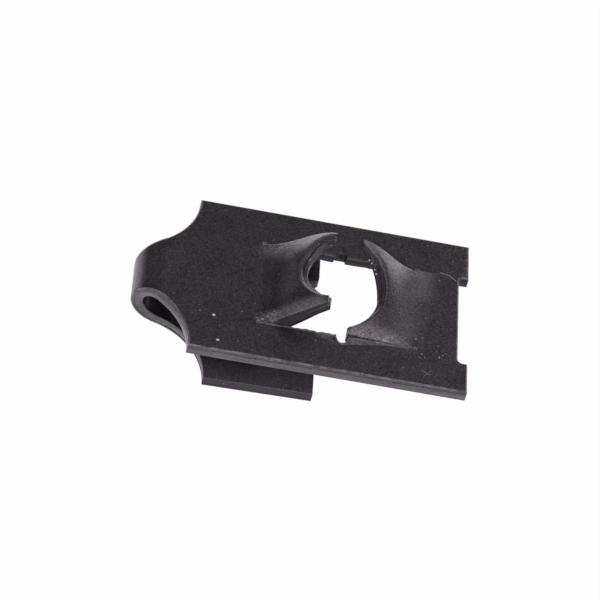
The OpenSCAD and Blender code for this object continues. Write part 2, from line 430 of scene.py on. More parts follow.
window = [*top_rows[-1][0], *back_slit, *reversed(top_rows[1][0]), *reversed(front_slit)]

corner_x = SHORT_END + CLEARANCE_CORNER
corner_y = math.sqrt((CLEARANCE_RADIUS + CLEARANCE_CORNER) ** 2 - (corner_x - CLEARANCE_X) ** 2)
corner_turn = math.degrees(math.atan2(corner_y, corner_x - CLEARANCE_X))
clearance = [
    *arc(corner_x, corner_y, CLEARANCE_CORNER, 180, 180 + corner_turn, CLEARANCE_CORNER_STEPS),
    *arc(CLEARANCE_X, 0.0, CLEARANCE_RADIUS, corner_turn, -corner_turn, CLEARANCE_STEPS),
    *arc(corner_x, -corner_y, CLEARANCE_CORNER, 180 - corner_turn, 180, CLEARANCE_CORNER_STEPS),
]
short_front = [(SHORT_END, -HALF_WIDTH), *notch_arc(-2 * SIDE_NOTCH, FOLD_END, SHORT_SHOULDER_STEPS)]
short_outer = [*fold_rows[-1], *mirrored(short_front), *clearance, *short_front]

top_faces = [*fill(long_outer, window), *fill(short_outer), *grid(fold_rows)]
for rows in top_rows.values():
    top_faces += grid(rows)
for face in top_faces:
    face.normal_update()
    if face.normal.z < 0:
        face.normal_flip()
print("top face of the blank:", len(top_faces), "faces")

# %% [markdown]
# The blank gets its thickness by hand, and not from Solidify and Bevel modifiers. The cut edges have
# a section of their own: the punch draws the top corner round, then it shears the sheet and leaves
# a fine line round the edge, and below that the sheet breaks off. Each point of the rim gets a chain
# of points down the edge. What a chain does is kept in one small record, with the plain sheared edge
# as its starting values.

# %% Section of a cut edge
TOP_ROUNDING = 0.18
TOP_STEPS = 4
LOW_ROUNDING = 0.05
LOW_STEPS = 2
SHEAR_LINE = 0.30
SHEAR_LINE_WIDTH = 0.09
SHEAR_LINE_DEPTH = 0.05
SHEAR_LINE_WANDER = 0.05
LOWEST_LINE = 0.85
CORNER_STEPS = (1, 2)  # points of a chain that lie on its top corner
RING_SHARES = (0.25, 0.38, 0.51)  # place of a finer line on the facing edges, above the shear line
RING_STEP = TOP_STEPS + 2
LINE_STEP = RING_STEP + 3
BURR_WIDTH = 0.16
BURR_PROFILE = ((1.0, 0.0), (0.6, 0.45), (0.3, 0.9), (0.1, 1.0), (0.0, 0.5))  # inset, height


def quarter(steps):
    """Inset and drop along a quarter round, as shares of its radius."""
    turns = [math.pi / 2 * i / steps for i in range(steps + 1)]
    return [(1 - math.sin(t), 1 - math.cos(t)) for t in turns]


class Rim:
    """What the edge does at one point of the rim: its low end, shear line, corner, wear and painted
    highlight.
    """

    def __init__(
        self, low_x, low_y, line=SHEAR_LINE, corner=(TOP_ROUNDING, TOP_ROUNDING),
        burr=0.0, drag=0.0, worn_and_highlit=1.0, dark=1.0,
    ):
        self.low = Vector((low_x, low_y, 0))
        self.line = line
        self.drag = drag
        self.worn_and_highlit = dict.fromkeys(CORNER_STEPS, worn_and_highlit)
        self.dark = {LINE_STEP: dark}
        if burr:
            self.corner = [(BURR_WIDTH * inset, burr * height) for inset, height in BURR_PROFILE]
        else:
            self.corner = [(corner[0] * inset, -corner[1] * drop) for inset, drop in quarter(TOP_STEPS)]


print("plain edge: corner of", TOP_ROUNDING, "mm, shear line", SHEAR_LINE, "mm down")

# %% [markdown]
# The lanced edges are not plain ones. The tongues' facing edges lean in, and the band under their line
# is bored to the circle that bears on the screw's core. Those bands are the lips. The tongues' side
# edges are dragged down by the punch, and the front slit has a raised burr in place of the round
# corner. The sides of both slits lean away from the window.

# %% Lips, burr and dragged edges
LEAST_LEAN = 1e-6
BREAK_LEAN = 0.15
BURR_HEIGHT = 0.13
BURR_RUN_OUT = 2.0
LANCED_CORNER = (LANCED_ROUNDING, LANCED_ROUNDING)
DRAG = 0.075  # lancing drags the tongues' side edges down, by this share of the rise
DRAG_END = 0.92
# Worn shares of the lanced and bored edges, which also paint a highlight.
LANCED_WEAR_AND_HIGHLIGHT = 0.3
BORED_WEAR_AND_HIGHLIGHT = 0.6

rim_forms = {}
for tongue in TONGUES:
    side = tongue["side"]
    for x, y in top_rows[side][-1]:
        lean = low_reach(tongue, y) - top_reach(tongue, y)
        bored = bored_reach(tongue, y)
        line = (bored - top_reach(tongue, y)) / lean if abs(lean) > LEAST_LEAN else LOWEST_LINE
        corner = lip_corner(tongue, y)
        line = min(LOWEST_LINE, max(SHEAR_LINE, corner[1] + 2 * SHEAR_LINE_WIDTH, line))
        # The wear and its painted highlight fade out over the outer half of each side.
        wear_and_highlight = tongue["lip_wear_and_highlight"] * min(1.0, 2.0 - 2.0 * abs(y) / TONGUE_HALF)
        rim = Rim(SCREW_X + side * bored, y, line, corner=corner, worn_and_highlit=wear_and_highlight)
        rim.worn_and_highlit[LINE_STEP + 1] = BORED_WEAR_AND_HIGHLIGHT * wear_and_highlight
        rim.dark[RING_STEP] = 1.0
        for step in range(2, TOP_STEPS + 1):
            rim.dark[step] = tongue["lip_dark"]
        rim_forms[point(x, y)] = rim
    for share, row in zip(shares[1:-1], top_rows[side][1:-1]):
        swell = math.sin(math.pi * min(1.0, share / DRAG_END))
        for (x, y), rise in zip((row[0], row[-1]), tongue["rise"]):
            drag = DRAG * rise * swell
            rim = Rim(x, y, corner=LANCED_CORNER, drag=drag, worn_and_highlit=LANCED_WEAR_AND_HIGHLIGHT, dark=0.0)
            rim_forms[point(x, y)] = rim
for x, y in front_slit[1:-1]:
    left = min(1.0, (root_line(END_TONGUE) - x) / BURR_RUN_OUT)
    # The burr is uneven, and it runs out before the end tongue's root.
    burr = left * BURR_HEIGHT * (0.6 + 0.4 * math.sin(7.3 * x) * math.sin(3.1 * x + 1))
    rim_forms[point(x, y)] = Rim(x, y - BREAK_LEAN, burr=burr, worn_and_highlit=left, dark=0.0)
for x, y in back_slit[1:-1]:
    low_y = WINDOW_HALF + BREAK_LEAN + min(y - WINDOW_HALF, BACK_RELIEF_DEPTH)
    rim_forms[point(x, y)] = Rim(x, low_y, corner=LANCED_CORNER, worn_and_highlit=0.0, dark=0.0)
print(len(rim_forms), "rim points have an edge of their own")

# %% [markdown]
# Each rim point knows the points before and after it, and so which way is into the sheet. Its chain
# starts with the corner on the top face and ends with a small round corner on the underside. The
# points also carry how worn and how dark they are, for the material to read later. The worn share
# also paints a highlight on the top corner, and the dark share paints shade into the shear line.
# Painting that on the finished mesh would be slower, and it would have to be done again after every
# change of a size.

# %% Chains down the edge
LONGEST_MITRE = 2.0
LEAST_OPENING = 0.1

rim_turns = [l for e in blank.edges if len(e.link_faces) == 1 for l in e.link_loops]
after = {l.vert: l.link_loop_next.vert for l in rim_turns}
before = {b: a for a, b in after.items()}
rim_places = {p: p.co.copy() for p in after}


def inward(p):
    """Way into the sheet at a rim point, long enough to keep the inset even round a corner."""
    come = (rim_places[p] - rim_places[before[p]]).normalized()
    go = (rim_places[after[p]] - rim_places[p]).normalized()
    left_come = Vector((-come.y, come.x, 0))
    left_go = Vector((-go.y, go.x, 0))
    mitre = (left_come + left_go) / max(1 + left_come.dot(left_go), LEAST_OPENING)
    return mitre if mitre.length < LONGEST_MITRE else mitre.normalized() * LONGEST_MITRE


def edge_places(p, rim):
    """Places of one chain, from the top face to the underside. The shear line wanders a little."""
    top = rim_places[p]
    into = inward(p)
    thick = SHEET + rim.drag
    down = Vector((0, 0, -1))
    wander = math.sin(1.7 * top.x + 2.3 * top.y) * math.sin(0.9 * top.x - 1.1 * top.y)
    line = min(LOWEST_LINE, rim.line + SHEAR_LINE_WANDER * wander)
    places = [top + into * inset - down * height for inset, height in rim.corner]
    is_lip = rim.low.x != top.x
    on_line = top.lerp(rim.low, 1.0 if is_lip else line)
    above = top.lerp(on_line, 1 - SHEAR_LINE_WIDTH / line)
    above = above + down * SHEET * (line - SHEAR_LINE_WIDTH)
    corner_end = places[-1]
    for step, share in enumerate(RING_SHARES, TOP_STEPS + 1):
        dent = into * SHEAR_LINE_DEPTH * rim.dark.get(step, 0.0)
        places.append(corner_end.lerp(above, share) + dent)
    places.append(above)
    places.append(on_line + into * SHEAR_LINE_DEPTH * rim.dark[LINE_STEP] + down * SHEET * line)
    places.append(on_line + down * SHEET * (line + SHEAR_LINE_WIDTH))
    for inset, drop in reversed(quarter(LOW_STEPS)):
        places.append(rim.low + into * LOW_ROUNDING * inset + down * (thick - LOW_ROUNDING * drop))
    return places


edge_chains = {}
for p, place in rim_places.items():
    rim = rim_forms.get(p, Rim(place.x, place.y))
    places = edge_places(p, rim)
    p.co = places[0]
    chain = [p, *[blank.verts.new(lower) for lower in places[1:]]]
    for step, share in rim.worn_and_highlit.items():
        chain[step][worn_and_highlit_layer] = share
    for step, share in rim.dark.items():
        chain[step][groove_layer] = share
    edge_chains[p] = chain
print(len(edge_chains), "chains down the edge")

# %% [markdown]
# The underside repeats the faces of the top, turned over and one sheet lower. Under the tongues its
# rows reach further in, because the facing edges lean. Last, strips of faces between neighbouring
# chains close the edge, and a count of open edges shows that the blank has no gap.

# %% Underside
low_places = {}
for tongue in TONGUES:
    side = tongue["side"]
    for top_row, low_row in zip(top_rows[side], low_rows[side]):
        for (x, y), (low_x, _) in zip(top_row, low_row):
            low_places[point(x, y)] = (low_x, y, -SHEET)
under = {p: chain[-1] for p, chain in edge_chains.items()}
for face in top_faces:
    for p in face.verts:
        if p not in under:
            under[p] = blank.verts.new(low_places.get(p, (p.co.x, p.co.y, -SHEET)))
for face in top_faces:
    blank.faces.new([under[p] for p in reversed(face.verts)])
for a, b in after.items():
    a_chain = edge_chains[a]
    b_chain = edge_chains[b]
    for i in range(len(a_chain) - 1):
        blank.faces.new([b_chain[i], a_chain[i], a_chain[i + 1], b_chain[i + 1]])
for face in blank.faces:
    face.smooth = True
open_edges = sum(not e.is_manifold for e in blank.edges)
print("blank:", len(blank.faces), "faces,", open_edges, "open edges")

blank_mesh = bpy.data.meshes.new("blank")
blank.to_mesh(blank_mesh)
blank.free()

# %% [markdown]
# Forming is a rule for every point, so Geometry Nodes do it, as the press does: lift the tongues,
# then bend the strip round the panel's edge. One small function adds a node with its settings and
# its links, for these trees and for the materials later. An input is a value, a socket or another
# node, whose first live output is then taken.

# %% Adding a node
def add(tree, kind, inputs=(), **settings):
    node = tree.nodes.new(kind)
    for name, value in settings.items():
        setattr(node, name, value)
    for key, value in (inputs.items() if isinstance(inputs, dict) else enumerate(inputs)):
        if isinstance(value, bpy.types.Node):
            value = next(o for o in value.outputs if o.enabled)
        if isinstance(value, bpy.types.NodeSocket):
            tree.links.new(value, node.inputs[key])
        elif value is not None:
            node.inputs[key].default_value = value
    return node


MATH = "ShaderNodeMath"
MIX = "ShaderNodeMix"
RANGE = "ShaderNodeMapRange"
VECTOR = "ShaderNodeVectorMath"
NOISE = "ShaderNodeTexNoise"
VORONOI = "ShaderNodeTexVoronoi"
print("one function adds every node")

# %% [markdown]
# The height of a tongue's top face follows from how far a point lies from the root. One side edge
# climbs as a straight ramp with a bent root, and the other as a wave that levels out at the tip.
# Mixing the two across the width twists the tongue. A lattice or a curve could twist it too, but a
# rule gives each edge its own slope.

# %% Geometry Nodes: climb of a tongue
lift = bpy.data.node_groups.new("tongue_height", "GeometryNodeTree")
LIFT_INPUTS = (
    "X", "Y", "Half width", "Root bend", "Screw X", "Root X", "Side", "Front tip", "Back tip",
    "Front rise", "Back rise", "Front curl", "Back curl", "Crown", "Edge roll",
    "Roll width", "Roll start",
)
for name in LIFT_INPUTS:
    lift.interface.new_socket(name, in_out="INPUT", socket_type="NodeSocketFloat")
lift.interface.new_socket("Height", in_out="OUTPUT", socket_type="NodeSocketFloat")
given = add(lift, "NodeGroupInput").outputs
bend = given["Root bend"]
half_width = given["Half width"]
front_edge = add(lift, MATH, [half_width, -1.0], operation="MULTIPLY")
share_y = add(lift, RANGE, [given["Y"], front_edge, half_width], clamp=False)
tip, rise, curl = [
    add(lift, MIX, {0: share_y, 2: given[f"Front {name}"], 3: given[f"Back {name}"]}, clamp_factor=False)
    for name in ("tip", "rise", "curl")
]
tip_x = add(lift, MATH, [tip, given["Side"], given["Screw X"]], operation="MULTIPLY_ADD")
run = add(lift, RANGE, [given["X"], given["Root X"], tip_x], clamp=False)
run = add(lift, MATH, [run, 0.0], operation="MAXIMUM")
bent = add(lift, MATH, [run, bend], operation="MINIMUM")
bent = add(lift, MATH, [bent, bent], operation="MULTIPLY")
bent = add(lift, MATH, [bent, bend], operation="DIVIDE")
straight = add(lift, MATH, [run, bend], operation="SUBTRACT")
straight = add(lift, MATH, [straight, 0.0], operation="MAXIMUM")
ramp = add(lift, MATH, [bent, 0.5, straight], operation="MULTIPLY_ADD")
full = add(lift, MATH, [bend, -0.5, 1.0], operation="MULTIPLY_ADD")
ramp = add(lift, MATH, [ramp, full], operation="DIVIDE")
wave = add(lift, RANGE, [run], interpolation_type="SMOOTHSTEP")
climb = add(lift, MIX, {0: curl, 2: ramp, 3: wave}, clamp_factor=False)
climb = add(lift, MATH, [climb, rise], operation="MULTIPLY")
print("climb of a tongue:", len(lift.nodes), "nodes")

# %% [markdown]
# A small crown stiffens the middle of the tongue, and its side edges roll down where the punch pulled
# them. Both are added to the climb. They start from nothing at the root, so that the tongue leaves
# the leg without a step.

# %% Geometry Nodes: crown and rolled sides
from_back = add(lift, MATH, [1.0, share_y], operation="SUBTRACT")
bulge = add(lift, MATH, [share_y, from_back], operation="MULTIPLY")
bulge = add(lift, MATH, [bulge, 4.0], operation="MULTIPLY")
bulge = add(lift, MATH, [bulge, given["Crown"]], operation="MULTIPLY")
run_squared = add(lift, MATH, [run, run], operation="MULTIPLY")
height = add(lift, MATH, [bulge, run_squared, climb], operation="MULTIPLY_ADD")
off_middle = add(lift, MATH, [given["Y"]], operation="ABSOLUTE")
roll_line = add(lift, MATH, [half_width, given["Roll width"]], operation="SUBTRACT")
rolled = add(lift, RANGE, [off_middle, roll_line, half_width])
rolled = add(lift, MATH, [rolled, rolled], operation="MULTIPLY")
kept = add(lift, MATH, [1.0, rolled], operation="SUBTRACT")
kept = add(lift, MATH, [kept, given["Edge roll"]], operation="MULTIPLY")
started = add(lift, RANGE, [run, 0.0, given["Roll start"]], interpolation_type="SMOOTHSTEP")
height = add(lift, MATH, [kept, started, height], operation="MULTIPLY_ADD")
add(lift, "NodeGroupOutput", {"Height": height})
print("tongue_height:", len(lift.nodes), "nodes")

# %% [markdown]
# The forming tree takes every size as a named input, as a press has its settings. Numbers inside the
# nodes would do the same once, but named inputs let the tree form another nut from other sizes.

# %% Geometry Nodes: sizes of the forming tree
form = bpy.data.node_groups.new("press_form", "GeometryNodeTree")
form.interface.new_socket("Geometry", in_out="INPUT", socket_type="NodeSocketGeometry")
form.interface.new_socket("Geometry", in_out="OUTPUT", socket_type="NodeSocketGeometry")
form_sizes = {
    "Half width": TONGUE_HALF,
    "Root bend": ROOT_BEND,
    "Roll width": ROLL_WIDTH,
    "Roll start": ROLL_START,
    "Sheet": SHEET,
    "Screw X": SCREW_X,
    "Fold start": FOLD_START,
    "Outer bend": OUTER_BEND,
    "Middle bend": MID_BEND,
    "Bend angle": BEND_ANGLE,
    "Closing": CLOSING,
    "Fold to screw": FOLD_TO_SCREW,
}
for label, tongue in (("Fold", FOLD_TONGUE), ("End", END_TONGUE)):
    form_sizes[f"{label} Root X"] = root_line(tongue)
    form_sizes[f"{label} Side"] = tongue["side"]
    form_sizes[f"{label} Crown"] = tongue["crown"]
    form_sizes[f"{label} Edge roll"] = tongue["roll"]
    for name in ("tip", "rise", "curl"):
        form_sizes[f"{label} Front {name}"] = tongue[name][0]
        form_sizes[f"{label} Back {name}"] = tongue[name][1]
form_ids = {
    name: form.interface.new_socket(name, in_out="INPUT", socket_type="NodeSocketFloat").identifier
    for name in form_sizes
}
finish_id = form.interface.new_socket(
    "Finish", in_out="INPUT", socket_type="NodeSocketMaterial"
).identifier
size = add(form, "NodeGroupInput").outputs
print("press_form:", len(form_sizes), "sizes")

# %% [markdown]
# The tree asks for a tongue's height at a point and just beside it. The slope between them says how
# much the sheet tilts, and so how tall its thickness stands. Without that, a steep tongue would come
# out thinner than the sheet that it is cut from.

# %% Geometry Nodes: lifting the tongues
SLOPE_STEP = 0.01

spot = add(form, "ShaderNodeSeparateXYZ", [add(form, "GeometryNodeInputPosition")]).outputs


def tongue_height(label, x, y):
    """Height of the tongue's top face at a place, with the sizes that this tongue has or shares."""
    sizes = {name: size[name] for name in LIFT_INPUTS if name in form_sizes}
    own = {name: size[f"{label} {name}"] for name in LIFT_INPUTS if f"{label} {name}" in form_sizes}
    return add(form, "GeometryNodeGroup", {**sizes, **own, "X": x, "Y": y}, node_tree=lift)


beside_x = add(form, MATH, [spot["X"], SLOPE_STEP], operation="ADD")
beside_y = add(form, MATH, [spot["Y"], SLOPE_STEP], operation="ADD")
flat_y = add(form, MATH, [spot["Y"]], operation="ABSOLUTE")
slit_middle = add(form, MATH, [size["Half width"], SLIT / 2], operation="ADD")
in_window = add(form, MATH, [flat_y, slit_middle], operation="LESS_THAN")
lifted_z = spot["Z"]
for label, compare in (("Fold", "LESS_THAN"), ("End", "GREATER_THAN")):
    here = tongue_height(label, spot["X"], spot["Y"])
    steps = [tongue_height(label, beside_x, spot["Y"]), tongue_height(label, spot["X"], beside_y)]
    stretch = 1.0
    for step in steps:
        slope = add(form, MATH, [step, here], operation="SUBTRACT")
        slope = add(form, MATH, [slope, SLOPE_STEP], operation="DIVIDE")
        stretch = add(form, MATH, [slope, slope, stretch], operation="MULTIPLY_ADD")
    stretch = add(form, MATH, [stretch], operation="SQRT")
    tongue_z = add(form, MATH, [spot["Z"], stretch, here], operation="MULTIPLY_ADD")
    own_side = add(form, MATH, [spot["X"], size["Screw X"]], operation=compare)
    own_side = add(form, MATH, [own_side, in_window], operation="MULTIPLY")
    lifted_z = add(form, MIX, {0: own_side, 2: lifted_z, 3: tongue_z})
print("lifting:", len(form.nodes), "nodes")

# %% [markdown]
# Now the strip is bent: a point's distance past the start of the fold gives its angle, and the rest
# of the distance runs on straight along the short leg. The same turn tilts the long leg by the
# closing angle. The result moves to the frame of the CAD work, with the screw's axis at the origin,
# and from millimetres to metres.

# %% Geometry Nodes: bending the strip
past = add(form, MATH, [size["Fold start"], spot["X"]], operation="SUBTRACT")
angle = add(form, MATH, [past, size["Middle bend"]], operation="DIVIDE")
angle = add(form, "ShaderNodeClamp", [angle, 0.0, size["Bend angle"]])
bent_past = add(form, MATH, [angle, size["Middle bend"]], operation="MULTIPLY")
straight_past = add(form, MATH, [past, bent_past], operation="SUBTRACT")
radius = add(form, MATH, [size["Outer bend"], lifted_z], operation="ADD")
backwards = add(form, MATH, [straight_past, -1.0], operation="MULTIPLY")
round_spot = add(form, "ShaderNodeCombineXYZ", [backwards, spot["Y"], radius])
back_turn = add(form, MATH, [angle, -1.0], operation="MULTIPLY")
close_turn = add(form, MATH, [back_turn, size["Closing"]], operation="ADD")
turning = {"Vector": round_spot, "Angle": close_turn}
bent_spot = add(form, "ShaderNodeVectorRotate", turning, rotation_type="Y_AXIS")
home_x = add(form, MATH, [size["Fold to screw"], -1.0], operation="MULTIPLY")
home = add(form, "ShaderNodeCombineXYZ", [home_x, 0.0, size["Outer bend"]])
formed_spot = add(form, VECTOR, [bent_spot, home], operation="ADD")
formed_spot = add(form, VECTOR, {0: formed_spot, "Scale": METRES_PER_MM}, operation="SCALE")
print("lifting and bending:", len(form.nodes), "nodes")

# %% [markdown]
# The material will want to know two things that the bent mesh no longer tells: how deep in the sheet
# a point lies, and whether its edge was lanced or blanked. Both are stored as attributes here, where
# the blank is still flat. Then the points move, and the tree ends with the finish.

# %% Geometry Nodes: marks for the finish
LANCED_TONGUE_SHARE = 0.55

depth = add(form, MATH, [spot["Z"], size["Sheet"]], operation="DIVIDE")
depth = add(form, MATH, [depth], operation="ABSOLUTE")
past_slit = add(form, MATH, [slit_middle, 2 * RELIEF_RADIUS], operation="ADD")
between = add(form, MATH, [flat_y, past_slit], operation="LESS_THAN")
after_root = add(form, MATH, [spot["X"], size["Fold Root X"]], operation="GREATER_THAN")
before_root = add(form, MATH, [spot["X"], size["End Root X"]], operation="LESS_THAN")
lanced = add(form, MATH, [after_root, before_root], operation="MULTIPLY")
lanced = add(form, MATH, [lanced, between], operation="MULTIPLY")
bared = add(form, MATH, [in_window, LANCED_TONGUE_SHARE - 1, 1.0], operation="MULTIPLY_ADD")
lanced = add(form, MATH, [lanced, bared], operation="MULTIPLY")
formed = size["Geometry"]
for name, value in (("depth", depth), ("lanced", lanced)):
    stored = {"Geometry": formed, "Name": name, "Value": value}
    formed = add(form, "GeometryNodeStoreNamedAttribute", stored, data_type="FLOAT", domain="POINT")
formed = add(form, "GeometryNodeSetPosition", {"Geometry": formed, "Position": formed_spot})
formed = add(form, "GeometryNodeRealizeInstances", [formed])
finished = {"Geometry": formed, "Material": size["Finish"]}
formed = add(form, "GeometryNodeSetMaterial", finished)
add(form, "NodeGroupOutput", {"Geometry": formed})
print("press_form:", len(form.nodes), "nodes")

# %% [markdown]
# The finish is a dark phosphate coat on rolled spring steel, sealed with a film of oil. To the eye it
# is a satin near-black with a touch of violet. The sheared edges are greyer than the rolled faces,
# with fine lines along them, because the shear smears the steel and the coat holds there less. On the
# outer edges part of that grey is painted light from the bright table in front. The colours are
# written as a picture shows them, and one function turns them to linear light, which is what the
# shader counts in. A pattern's scale is worked out from its size in millimetres.

# %% Colours and scales
def linear(hex_colour):
    """A colour as a picture shows it, turned to linear light."""
    channels = [int(hex_colour[i:i + 2], 16) / 255 for i in (1, 3, 5)]
    return [c / 12.92 if c <= 0.04045 else ((c + 0.055) / 1.055) ** 2.4 for c in channels] + [1.0]


def per_metre(size_mm):
    """Scale of a pattern whose cells are this wide."""
    return 1 / (size_mm * METRES_PER_MM)


COAT_DARK = linear("#211b20")
COAT_LIGHT = linear("#2e272d")
CUT_DARK = linear("#2a262a")
CUT_LIGHT = linear("#787278")
SHADED_CUT = linear("#484348")
# Near black for the painted shade in the shear line's groove, and for the tear.
GROOVE = linear("#151214")
LANCED_DARK = linear("#1c181b")
LANCED_LIGHT = linear("#332d32")
WORN_AND_HIGHLIT = linear("#857e84")
# Pale colour of rubbed coat, which also paints sheen on the tongues and light on the short leg.
RUBBED_AND_SHEEN = linear("#7c777c")
SPECK = linear("#efecee")
STAIN = linear("#1a1812")
SHEEN_TINT = linear("#fff0ff")
print("coat in linear light:", [round(c, 4) for c in COAT_DARK[:3]])

# %% [markdown]
# The coat is a layer of phosphate crystals. They are a few hundredths of a millimetre wide on the
# real part, too fine for this picture, so the grain is drawn a few times coarser. Cloudy patches of
# some millimetres lie over it.

# %% Coat and its grain
MOTTLE_MM = 2.5
GRIT_MM = 0.16
CRYSTAL_MM = 0.11

steel = bpy.data.materials.new("phosphated_spring_steel")
steel.use_nodes = True
tree = steel.node_tree
tree.nodes.clear()
here = add(tree, "ShaderNodeTexCoord").outputs["Object"]
along, across_strip, height = add(tree, "ShaderNodeSeparateXYZ", [here]).outputs
mask = {name: add(tree, "ShaderNodeAttribute", attribute_name=name).outputs["Fac"]
        for name in ("depth", "lanced", "worn_and_highlit", "groove")}
mottle = add(tree, NOISE, {
    "Vector": here, "Scale": per_metre(MOTTLE_MM), "Detail": 5.0, "Roughness": 0.65,
})
grit = add(tree, NOISE, {
    "Vector": here, "Scale": per_metre(GRIT_MM), "Detail": 3.0, "Roughness": 0.7,
})
cells = add(tree, VORONOI, {"Vector": here, "Scale": per_metre(CRYSTAL_MM)}).outputs["Color"]
crystals = add(tree, "ShaderNodeSeparateColor", [cells])
clouds = add(tree, RANGE, [mottle, 0.3, 0.7])
rough_grain = add(tree, RANGE, [grit, 0.3, 0.7, 0.5, 1.5])
crystal_grain = add(tree, RANGE, [crystals, 0.0, 1.0, 0.6, 1.4])
grain = add(tree, MATH, [rough_grain, crystal_grain], operation="MULTIPLY")
coat = add(tree, MIX, {0: clouds, 6: COAT_DARK, 7: COAT_LIGHT}, data_type="RGBA")
coat = add(tree, VECTOR, {0: coat, "Scale": grain}, operation="SCALE")
print("grain of", GRIT_MM, "and", CRYSTAL_MM, "mm")

# %% [markdown]
# Handling and the punch have left their marks: the coat is rubbed pale and speckled where the tongues
# leave the leg, one tongue has a small tear, and a stain lies by the front corner under some dust.
# The same pale strokes also paint the sheen of the bent tongues, and paint light on the short leg's
# shaded inner face. There are grains of lint and a few hair scratches too. Each is a stroke with a
# reach round it. That needs no painted picture, and it stays sharp at any size.

# %% Where the marks lie
def stroke(start, end, reach_mm, strength):
    """Share of a mark that runs from start to end and fades over its reach."""
    start = Vector(start) * METRES_PER_MM
    way = Vector(end) * METRES_PER_MM - start
    gone = add(tree, VECTOR, [here, start], operation="SUBTRACT")
    along_way = way / way.length_squared
    share = add(tree, VECTOR, [gone, along_way], operation="DOT_PRODUCT").outputs["Value"]
    share = add(tree, "ShaderNodeClamp", [share])
    foot = add(tree, VECTOR, {0: way, "Scale": share}, operation="SCALE")
    gap = add(tree, VECTOR, [gone, foot], operation="DISTANCE").outputs["Value"]
    reach = reach_mm * METRES_PER_MM
    return add(tree, RANGE, [gap, reach, 0.0, 0.0, strength], interpolation_type="SMOOTHSTEP")


def strongest(shares):
    """The largest of several shares, place by place."""
    top = shares[0]
    for share in shares[1:]:
        top = add(tree, MATH, [top, share], operation="MAXIMUM")
    return top


# Each mark is a start, an end, a reach and a strength, in millimetres from the CAD frame's origin.
# Rubbed coat with painted sheen where the tongues bend up into the light. The last stroke, at the end
# tongue's root, is painted sheen only.
RUBS_AND_SHEEN = (
    ((-6.0, -3.9, 4.4), (-5.3, -3.9, 4.65), 0.9, 0.65),
    ((-5.4, -3.8, 4.6), (-2.0, -3.9, 7.5), 1.0, 1.0),
    ((-5.7, 3.6, 4.45), (-4.2, 2.8, 5.4), 1.4, 0.65),
    ((-4.2, 2.8, 5.4), (-2.2, 3.7, 6.7), 1.3, 0.9),
    ((1.4, -4.2, 4.5), (5.0, -4.0, 4.2), 1.7, 0.9),
    ((1.9, 4.0, 6.5), (6.4, 3.9, 4.05), 2.0, 1.0),
    ((6.6, 3.0, 4.05), (6.6, 1.8, 4.05), 1.8, 0.7),
    ((6.2, 1.8, 4.1), (5.6, -2.6, 4.1), 2.0, 0.4),
)
# Painted light: lightens the short leg's inner face, which lies in the long leg's shade.
SHORT_LEG_PAINTED_LIGHT = ((-9.5, -8.2, 1.0), (-0.5, -8.2, 1.0), 3.4, 0.7)
# A grain of lint has only a place and a reach.
LINT = (
    ((-9.92, -4.41, 4.48), 0.16),
    ((-9.44, -6.96, 4.47), 0.15),
    ((2.18, 3.36, 5.31), 0.12),
    ((2.38, 3.12, 5.22), 0.12),
    ((2.67, 2.66, 5.01), 0.11),
    ((2.85, 2.33, 4.89), 0.11),
)
HAIRS = (
    ((8.28, 4.5, 3.97), (9.03, 4.34, 3.95), 0.05, 0.5),
    ((9.03, 4.34, 3.95), (9.54, 3.9, 3.94), 0.05, 0.5),
    ((6.91, -6.43, 4.01), (7.61, -6.8, 3.99), 0.06, 0.2),
    ((7.1, -7.06, 4.01), (7.66, -6.4, 3.99), 0.06, 0.16),
)
DUST = (
    ((5.91, -3.32, 4.05), (6.73, -3.12, 4.02), 0.6, 0.4),
    ((6.19, -4.89, 4.03), (7.41, -4.82, 4.0), 0.7, 0.45),
    ((7.41, -4.82, 4.0), (8.8, -4.6, 3.97), 0.9, 0.5),
)
TEARS = (
    ((-4.09, 2.52, 5.7), (-3.86, 1.99, 5.97), 0.1, 0.9),
    ((-3.86, 1.99, 5.97), (-3.69, 2.06, 6.11), 0.1, 0.9),
)
# Sparks: pale bared crystals, which also stand in for painted glints.
SPARKS = (
    ((-6.0, -4.0, 4.4), (-5.2, -3.8, 4.7), 0.9, 0.35),
    ((1.6, -4.1, 4.5), (5.0, -4.1, 4.2), 1.2, 0.2),
    ((-5.8, 3.9, 4.45), (-4.6, 3.7, 5.0), 0.9, 0.15),
)
STAIN_MARK = ((6.5, -4.7, 4.03), (8.7, -5.5, 3.96), 1.1, 0.8)
print(len(RUBS_AND_SHEEN) + 1, "rubbed places,", len(LINT), "grains of lint,", len(HAIRS), "hair scratches")

# %% [markdown]
# The rubbed places are grey and speckled by the crystals, and they carry painted sheen as well. Those
# on the tongues stop at the slits, because only the tongues were pushed up by the punch. The stain
# is blotted and the tear is a dark line. All three lie in the coat, so they are mixed into its colour
# first.

# %% Rubbed places with painted sheen, stain and tear
STAIN_BLOT_MM = 0.5

rub_and_sheen = strongest([stroke(*rub) for rub in RUBS_AND_SHEEN])
off_middle = add(tree, MATH, [across_strip], operation="ABSOLUTE")
inside_slits = add(tree, MATH, [off_middle, WINDOW_HALF * METRES_PER_MM], operation="LESS_THAN")
rub_and_sheen = add(tree, MATH, [rub_and_sheen, inside_slits], operation="MULTIPLY")
